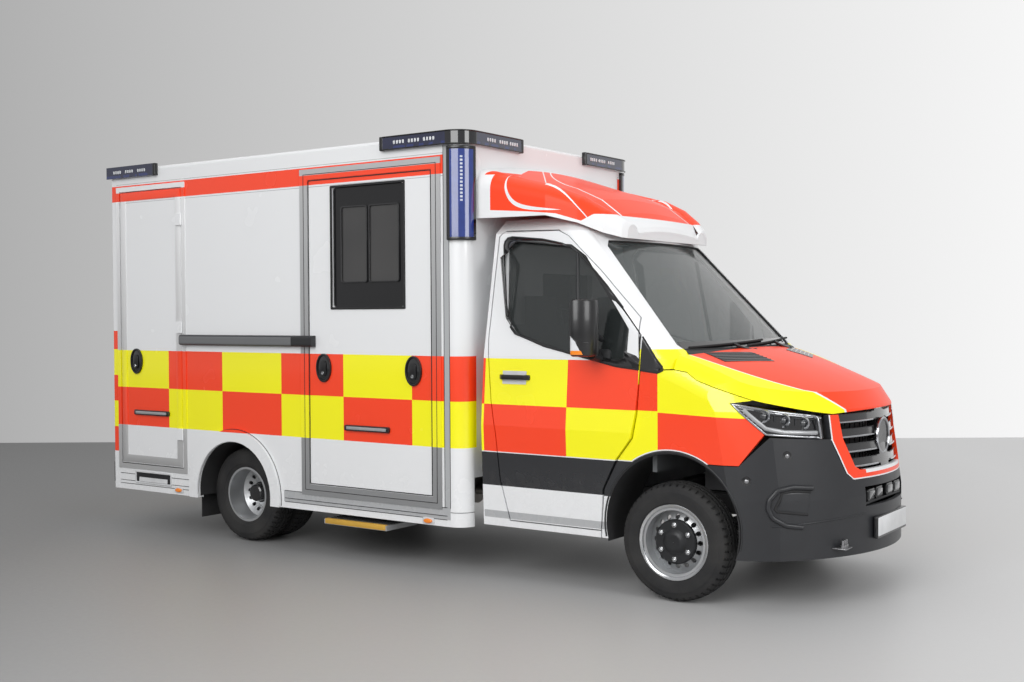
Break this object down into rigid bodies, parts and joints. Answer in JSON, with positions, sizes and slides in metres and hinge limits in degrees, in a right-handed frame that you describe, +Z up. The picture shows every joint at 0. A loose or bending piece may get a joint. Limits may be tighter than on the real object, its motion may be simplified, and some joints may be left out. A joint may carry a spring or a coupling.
{
  "type": "box-body ambulance",
  "caption": "Box-body ambulance on a light truck chassis, with opening cab, rear and locker doors, opening bonnet, steered front wheels and twin rear wheels.",
  "frame": {"origin": "on the ground, midway between the front and rear bumpers, in the middle plane", "axes": "+X forward, +Y to the left of the vehicle, +Z up"},
  "size_m": [6.14, 2.45, 2.9249],
  "materials": {
    "white_paint": "gloss",
    "cab_paint": "gloss",
    "orange_paint": "gloss",
    "floor": "matte",
    "dark_glass": "gloss",
    "clear_glass": "gloss",
    "black_plastic": "matte",
    "gloss_black": "gloss",
    "dash_plastic": "matte",
    "red_lens": "gloss",
    "blue_lens": "gloss",
    "grey_aluminium": "satin",
    "black_rubber": "matte",
    "chassis_black": "satin",
    "cast_grey": "matte",
    "exhaust_steel": "satin",
    "tyre": "matte",
    "rim_silver": "satin",
    "lamp_lens": "gloss",
    "seat_fabric": "matte"
  },
  "bodies": {
    "vehicle": {"box_wall_right": "white_paint", "box_wall_left": "white_paint", "box_front": "white_paint", "box_roof": "white_paint", "box_floor": "floor", "rear_frame": "white_paint", "rear_bumper": "black_plastic", "tail_lamps": "red_lens", "side_door": "white_paint", "door_frames": "grey_aluminium", "box_windows": "dark_glass", "door_rail": "black_plastic", "arch_flares": "white_paint", "mudflaps": "black_rubber", "side_step": "grey_aluminium", "warning_lights": "blue_lens", "frame_rails": "chassis_black", "body_bearers": "chassis_black", "rear_axle": "chassis_black", "front_axle": "chassis_black", "engine_block": "cast_grey", "fuel_tank": "black_plastic", "exhaust": "exhaust_steel", "cab_shell": "cab_paint", "windscreen": "clear_glass", "front_wings": "cab_paint", "headlights": "lamp_lens", "front_bumper": "black_plastic", "grille_surround": "orange_paint", "grille": "gloss_black", "cab_floor": "floor", "dashboard": "dash_plastic", "seats": "seat_fabric", "roof_fairing": "orange_paint", "gaiter": "black_rubber"},
    "front_wheel_right": {"front_tyre_right": "tyre", "front_rim_right": "rim_silver"},
    "front_wheel_left": {"front_tyre_left": "tyre", "front_rim_left": "rim_silver"},
    "rear_wheels_right": {"rear_tyres_right": "tyre", "rear_rims_right": "rim_silver"},
    "rear_wheels_left": {"rear_tyres_left": "tyre", "rear_rims_left": "rim_silver"},
    "steering_knuckle_right": {"knuckle_right": "cast_grey"},
    "steering_knuckle_left": {"knuckle_left": "cast_grey"},
    "cab_door_right": {"cab_door_right": "cab_paint", "door_glass_right": "clear_glass", "mirror_right": "black_plastic"},
    "cab_door_left": {"cab_door_left": "cab_paint", "door_glass_left": "clear_glass", "mirror_left": "black_plastic"},
    "bonnet": {"bonnet": "cab_paint"},
    "rear_door_right": {"rear_door_right": "white_paint", "rear_glass_right": "dark_glass"},
    "rear_door_left": {"rear_door_left": "white_paint", "rear_glass_left": "dark_glass"},
    "locker_door": {"locker_door": "white_paint"},
    "steering_wheel": {"steering_wheel": "dash_plastic"}
  },
  "joints": [
    {"name": "steer_right", "type": "hinge", "parent": "vehicle", "child": "steering_knuckle_right", "pos_m": [2.07, -0.722, 0.357], "axis": [0, 0, 1], "range_deg": [-35, 35]},
    {"name": "spin_front_right", "type": "hinge", "parent": "steering_knuckle_right", "child": "front_wheel_right", "pos_m": [2.07, -0.85, 0.357], "axis": [0, 1, 0], "continuous": true},
    {"name": "spin_rear_right", "type": "hinge", "parent": "vehicle", "child": "rear_wheels_right", "pos_m": [-1.56, -0.7495, 0.357], "axis": [0, 1, 0], "continuous": true},
    {"name": "open_cab_door_right", "type": "hinge", "parent": "vehicle", "child": "cab_door_right", "pos_m": [1.871, -1.003, 1.2], "axis": [0, 0, 1], "range_deg": [0, 70]},
    {"name": "open_rear_door_right", "type": "hinge", "parent": "vehicle", "child": "rear_door_right", "pos_m": [-2.988, -0.95, 1.6], "axis": [0, 0, 1], "range_deg": [0, 110]},
    {"name": "steer_left", "type": "hinge", "parent": "vehicle", "child": "steering_knuckle_left", "pos_m": [2.07, 0.722, 0.357], "axis": [0, 0, 1], "range_deg": [-35, 35]},
    {"name": "spin_front_left", "type": "hinge", "parent": "steering_knuckle_left", "child": "front_wheel_left", "pos_m": [2.07, 0.85, 0.357], "axis": [0, 1, 0], "continuous": true},
    {"name": "spin_rear_left", "type": "hinge", "parent": "vehicle", "child": "rear_wheels_left", "pos_m": [-1.56, 0.7495, 0.357], "axis": [0, 1, 0], "continuous": true},
    {"name": "open_cab_door_left", "type": "hinge", "parent": "vehicle", "child": "cab_door_left", "pos_m": [1.871, 1.003, 1.2], "axis": [0, 0, -1], "range_deg": [0, 70]},
    {"name": "open_rear_door_left", "type": "hinge", "parent": "vehicle", "child": "rear_door_left", "pos_m": [-2.988, 0.95, 1.6], "axis": [0, 0, -1], "range_deg": [0, 110]},
    {"name": "open_bonnet", "type": "hinge", "parent": "vehicle", "child": "bonnet", "pos_m": [2.045, 0, 1.48], "axis": [0, -1, 0], "range_deg": [0, 50]},
    {"name": "open_locker_door", "type": "hinge", "parent": "vehicle", "child": "locker_door", "pos_m": [-2.132, -1.084, 1.6], "axis": [0, 0, 1], "range_deg": [0, 110]},
    {"name": "turn_steering_wheel", "type": "hinge", "parent": "vehicle", "child": "steering_wheel", "pos_m": [1.43, 0.44, 1.29], "axis": [-0.8829, 0, 0.4695], "range_deg": [-490, 490]}
  ],
  "couplings": [
    {"joint": "steer_left", "follows": "steer_right", "ratio": 1},
    {"joint": "turn_steering_wheel", "follows": "steer_right", "ratio": 14}
  ]
}
